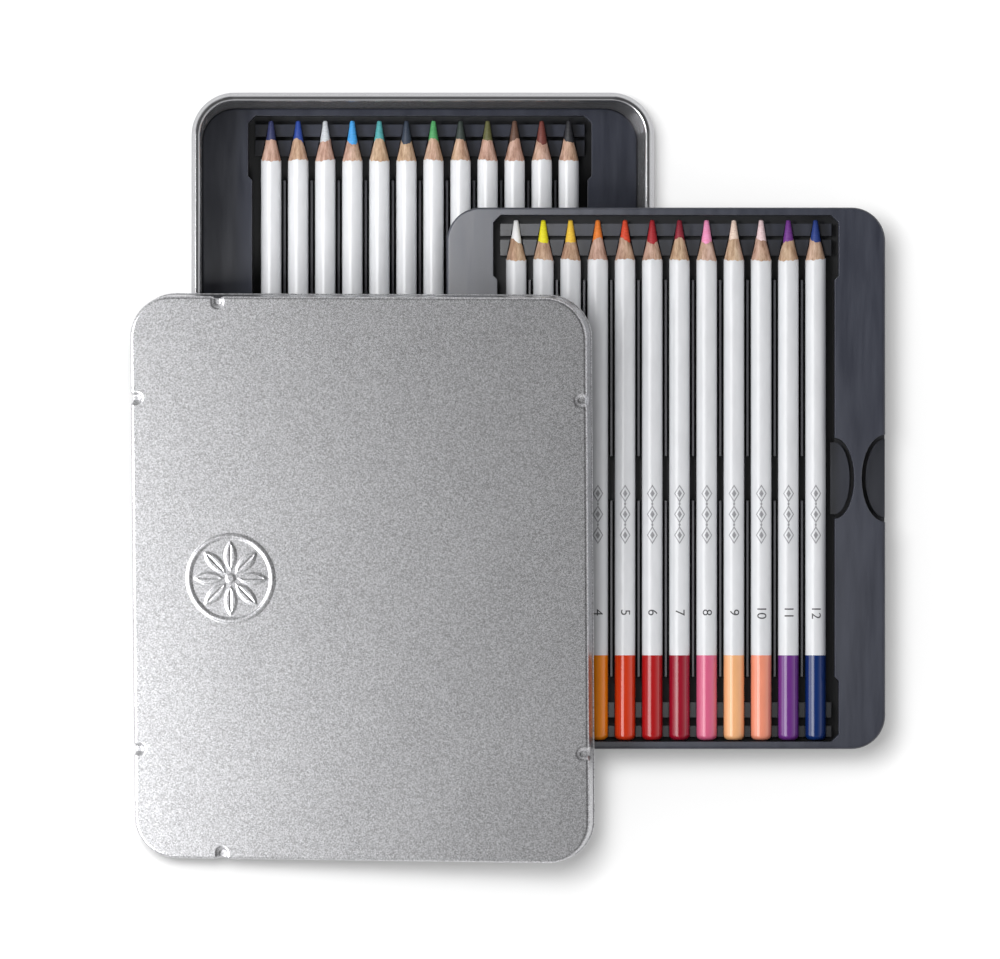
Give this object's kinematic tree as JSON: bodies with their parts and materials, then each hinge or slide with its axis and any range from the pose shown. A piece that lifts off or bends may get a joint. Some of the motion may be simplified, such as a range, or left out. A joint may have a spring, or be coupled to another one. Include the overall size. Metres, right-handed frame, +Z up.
{
  "type": "colored pencil tin",
  "caption": "Flat tinplate pencil tin, taken apart: base with a charcoal pencil tray, a second tray across its rim, and the lid leaning over both.",
  "frame": {"origin": "centre of the base's flat underside, on the table", "axes": "+Z up; +Y along the pencils, towards their tips; +X to the right, towards the upper tray"},
  "size_m": [0.2541, 0.2595, 0.0525],
  "materials": {
    "tinplate": "satin grained tinplate, brighter on the worn edges",
    "tray_plastic": "charcoal thermoformed sheet, semi-matt",
    "casing_wood": "white gloss lacquer over cedar-coloured wood, the sharpened cone bare, the end dipped",
    "core_white": "waxy coloured core, the same colour as its pencil's dipped end",
    "core_lemon": "waxy coloured core, the same colour as its pencil's dipped end",
    "core_golden_yellow": "waxy coloured core, the same colour as its pencil's dipped end",
    "core_orange": "waxy coloured core, the same colour as its pencil's dipped end",
    "core_mandarin": "waxy coloured core, the same colour as its pencil's dipped end",
    "core_red": "waxy coloured core, the same colour as its pencil's dipped end",
    "core_carmine": "waxy coloured core, the same colour as its pencil's dipped end",
    "core_rose_pink": "waxy coloured core, the same colour as its pencil's dipped end",
    "core_peach": "waxy coloured core, the same colour as its pencil's dipped end",
    "core_pastel_pink": "waxy coloured core, the same colour as its pencil's dipped end",
    "core_plum": "waxy coloured core, the same colour as its pencil's dipped end",
    "core_royal_blue": "waxy coloured core, the same colour as its pencil's dipped end",
    "core_indigo": "waxy coloured core, the same colour as its pencil's dipped end",
    "core_cobalt": "waxy coloured core, the same colour as its pencil's dipped end",
    "core_silver_grey": "waxy coloured core, the same colour as its pencil's dipped end",
    "core_sky_blue": "waxy coloured core, the same colour as its pencil's dipped end",
    "core_turquoise": "waxy coloured core, the same colour as its pencil's dipped end",
    "core_slate": "waxy coloured core, the same colour as its pencil's dipped end",
    "core_green": "waxy coloured core, the same colour as its pencil's dipped end",
    "core_fir_green": "waxy coloured core, the same colour as its pencil's dipped end",
    "core_olive": "waxy coloured core, the same colour as its pencil's dipped end",
    "core_umber": "waxy coloured core, the same colour as its pencil's dipped end",
    "core_red_brown": "waxy coloured core, the same colour as its pencil's dipped end",
    "core_black": "waxy coloured core, the same colour as its pencil's dipped end"
  },
  "bodies": {
    "tin_base": {"tin_base": "tinplate"},
    "lower_tray": {"lower_tray": "tray_plastic"},
    "upper_tray": {"upper_tray": "tray_plastic"},
    "lid": {"lid": "tinplate"},
    "pencil_01": {"casing_01": "casing_wood", "core_01": "core_white"},
    "pencil_02": {"casing_02": "casing_wood", "core_02": "core_lemon"},
    "pencil_03": {"casing_03": "casing_wood", "core_03": "core_golden_yellow"},
    "pencil_04": {"casing_04": "casing_wood", "core_04": "core_orange"},
    "pencil_05": {"casing_05": "casing_wood", "core_05": "core_mandarin"},
    "pencil_06": {"casing_06": "casing_wood", "core_06": "core_red"},
    "pencil_07": {"casing_07": "casing_wood", "core_07": "core_carmine"},
    "pencil_08": {"casing_08": "casing_wood", "core_08": "core_rose_pink"},
    "pencil_09": {"casing_09": "casing_wood", "core_09": "core_peach"},
    "pencil_10": {"casing_10": "casing_wood", "core_10": "core_pastel_pink"},
    "pencil_11": {"casing_11": "casing_wood", "core_11": "core_plum"},
    "pencil_12": {"casing_12": "casing_wood", "core_12": "core_royal_blue"},
    "pencil_13": {"casing_13": "casing_wood", "core_13": "core_indigo"},
    "pencil_14": {"casing_14": "casing_wood", "core_14": "core_cobalt"},
    "pencil_15": {"casing_15": "casing_wood", "core_15": "core_silver_grey"},
    "pencil_16": {"casing_16": "casing_wood", "core_16": "core_sky_blue"},
    "pencil_17": {"casing_17": "casing_wood", "core_17": "core_turquoise"},
    "pencil_18": {"casing_18": "casing_wood", "core_18": "core_slate"},
    "pencil_19": {"casing_19": "casing_wood", "core_19": "core_green"},
    "pencil_20": {"casing_20": "casing_wood", "core_20": "core_fir_green"},
    "pencil_21": {"casing_21": "casing_wood", "core_21": "core_olive"},
    "pencil_22": {"casing_22": "casing_wood", "core_22": "core_umber"},
    "pencil_23": {"casing_23": "casing_wood", "core_23": "core_red_brown"},
    "pencil_24": {"casing_24": "casing_wood", "core_24": "core_black"}
  },
  "joints": [
    {"name": "upper_tray_lift", "type": "slide", "parent": "tin_base", "child": "upper_tray", "axis": [0, 0, 1], "range_m": [0, 0.1]},
    {"name": "lid_lift", "type": "slide", "parent": "upper_tray", "child": "lid", "axis": [0, 0, 1], "range_m": [0, 0.1]},
    {"name": "lower_tray_lift", "type": "slide", "parent": "tin_base", "child": "lower_tray", "axis": [0, 0, 1], "range_m": [0, 0.01]},
    {"name": "pencil_01_lift", "type": "slide", "parent": "upper_tray", "child": "pencil_01", "axis": [0, 0, 1], "range_m": [0, 0.006]},
    {"name": "pencil_02_lift", "type": "slide", "parent": "upper_tray", "child": "pencil_02", "axis": [0, 0, 1], "range_m": [0, 0.008]},
    {"name": "pencil_03_lift", "type": "slide", "parent": "upper_tray", "child": "pencil_03", "axis": [0, 0, 1], "range_m": [0, 0.009]},
    {"name": "pencil_04_lift", "type": "slide", "parent": "upper_tray", "child": "pencil_04", "axis": [0, 0, 1], "range_m": [0, 0.002]},
    {"name": "pencil_05_lift", "type": "slide", "parent": "upper_tray", "child": "pencil_05", "axis": [0, 0, 1], "range_m": [0, 0.06]},
    {"name": "pencil_06_lift", "type": "slide", "parent": "upper_tray", "child": "pencil_06", "axis": [0, 0, 1], "range_m": [0, 0.06]},
    {"name": "pencil_07_lift", "type": "slide", "parent": "upper_tray", "child": "pencil_07", "axis": [0, 0, 1], "range_m": [0, 0.06]},
    {"name": "pencil_08_lift", "type": "slide", "parent": "upper_tray", "child": "pencil_08", "axis": [0, 0, 1], "range_m": [0, 0.06]},
    {"name": "pencil_09_lift", "type": "slide", "parent": "upper_tray", "child": "pencil_09", "axis": [0, 0, 1], "range_m": [0, 0.06]},
    {"name": "pencil_10_lift", "type": "slide", "parent": "upper_tray", "child": "pencil_10", "axis": [0, 0, 1], "range_m": [0, 0.06]},
    {"name": "pencil_11_lift", "type": "slide", "parent": "upper_tray", "child": "pencil_11", "axis": [0, 0, 1], "range_m": [0, 0.06]},
    {"name": "pencil_12_lift", "type": "slide", "parent": "upper_tray", "child": "pencil_12", "axis": [0, 0, 1], "range_m": [0, 0.06]},
    {"name": "pencil_13_lift", "type": "slide", "parent": "lower_tray", "child": "pencil_13", "axis": [0, 0, 1], "range_m": [0, 0.012]},
    {"name": "pencil_14_lift", "type": "slide", "parent": "lower_tray", "child": "pencil_14", "axis": [0, 0, 1], "range_m": [0, 0.012]},
    {"name": "pencil_15_lift", "type": "slide", "parent": "lower_tray", "child": "pencil_15", "axis": [0, 0, 1], "range_m": [0, 0.012]},
    {"name": "pencil_16_lift", "type": "slide", "parent": "lower_tray", "child": "pencil_16", "axis": [0, 0, 1], "range_m": [0, 0.012]},
    {"name": "pencil_17_lift", "type": "slide", "parent": "lower_tray", "child": "pencil_17", "axis": [0, 0, 1], "range_m": [0, 0.012]},
    {"name": "pencil_18_lift", "type": "slide", "parent": "lower_tray", "child": "pencil_18", "axis": [0, 0, 1], "range_m": [0, 0.012]},
    {"name": "pencil_19_lift", "type": "slide", "parent": "lower_tray", "child": "pencil_19", "axis": [0, 0, 1], "range_m": [0, 0.012]},
    {"name": "pencil_20_lift", "type": "slide", "parent": "lower_tray", "child": "pencil_20", "axis": [0, 0, 1], "range_m": [0, 0.012]},
    {"name": "pencil_21_lift", "type": "slide", "parent": "lower_tray", "child": "pencil_21", "axis": [0, 0, 1], "range_m": [0, 0.012]},
    {"name": "pencil_22_lift", "type": "slide", "parent": "lower_tray", "child": "pencil_22", "axis": [0, 0, 1], "range_m": [0, 0.012]},
    {"name": "pencil_23_lift", "type": "slide", "parent": "lower_tray", "child": "pencil_23", "axis": [0, 0, 1], "range_m": [0, 0.012]},
    {"name": "pencil_24_lift", "type": "slide", "parent": "lower_tray", "child": "pencil_24", "axis": [0, 0, 1], "range_m": [0, 0.012]}
  ]
}
